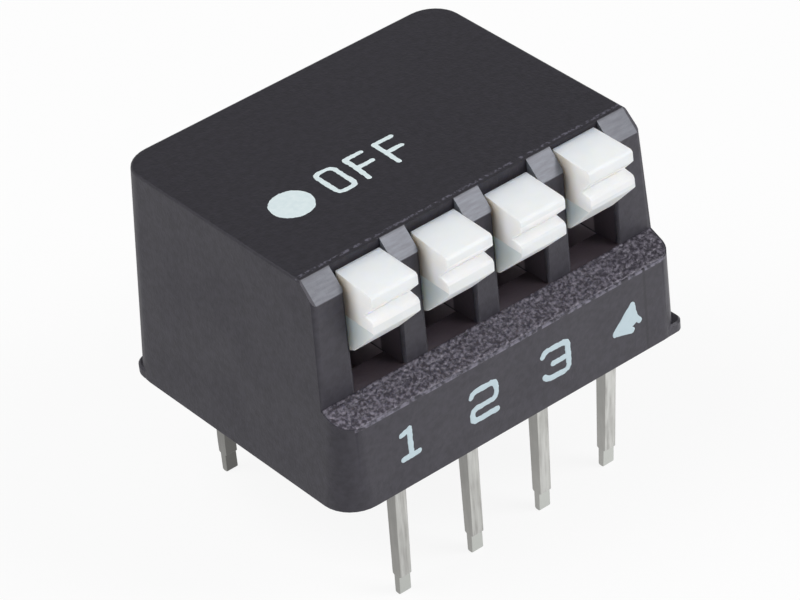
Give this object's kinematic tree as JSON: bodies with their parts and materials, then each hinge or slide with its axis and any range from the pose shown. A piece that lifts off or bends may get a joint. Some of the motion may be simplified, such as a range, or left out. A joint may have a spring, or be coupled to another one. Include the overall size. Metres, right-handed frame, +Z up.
{
  "type": "dip switch",
  "caption": "Side-actuated piano-style DIP switch: black moulded housing with white rocking levers in front slots, on tinned through-hole terminals.",
  "frame": {"origin": "centre of the eight-terminal pattern, on the seating plane under the housing and base", "axes": "+X along the row of levers, from lever 1 to lever 4; the levers face -Y; +Z up, away from the circuit board"},
  "size_m": [0.0122, 0.01, 0.0111],
  "materials": {
    "housing_plastic": "moulded glass-filled thermoplastic, fine spark-eroded texture, coarser on the ledge",
    "base_plastic": "moulded, plain",
    "lever_plastic": "moulded white, satin",
    "gold_plate": "polished, gold-plated",
    "spring_steel": "drawn wire",
    "tinned_brass": "stamped, tin-plated, dull bright",
    "print_ink": "pad-printed white ink"
  },
  "bodies": {
    "case": {"housing": "housing_plastic", "base": "base_plastic", "front_terminal_1": "tinned_brass", "front_terminal_2": "tinned_brass", "front_terminal_3": "tinned_brass", "front_terminal_4": "tinned_brass", "rear_terminal_1": "tinned_brass", "rear_terminal_2": "tinned_brass", "rear_terminal_3": "tinned_brass", "rear_terminal_4": "tinned_brass"},
    "rocker_1": {"lever_1": "lever_plastic", "contact_ball_1": "gold_plate", "contact_spring_1": "spring_steel"},
    "rocker_2": {"lever_2": "lever_plastic", "contact_ball_2": "gold_plate", "contact_spring_2": "spring_steel"},
    "rocker_3": {"lever_3": "lever_plastic", "contact_ball_3": "gold_plate", "contact_spring_3": "spring_steel"},
    "rocker_4": {"lever_4": "lever_plastic", "contact_ball_4": "gold_plate", "contact_spring_4": "spring_steel"}
  },
  "joints": [
    {"name": "lever_1_rock", "type": "hinge", "parent": "case", "child": "rocker_1", "pos_m": [-0.00381, 0, 0.0049], "axis": [1, 0, 0], "range_deg": [0, 20]},
    {"name": "lever_2_rock", "type": "hinge", "parent": "case", "child": "rocker_2", "pos_m": [-0.00127, 0, 0.0049], "axis": [1, 0, 0], "range_deg": [0, 20]},
    {"name": "lever_3_rock", "type": "hinge", "parent": "case", "child": "rocker_3", "pos_m": [0.00127, 0, 0.0049], "axis": [1, 0, 0], "range_deg": [0, 20]},
    {"name": "lever_4_rock", "type": "hinge", "parent": "case", "child": "rocker_4", "pos_m": [0.00381, 0, 0.0049], "axis": [1, 0, 0], "range_deg": [0, 20]}
  ]
}
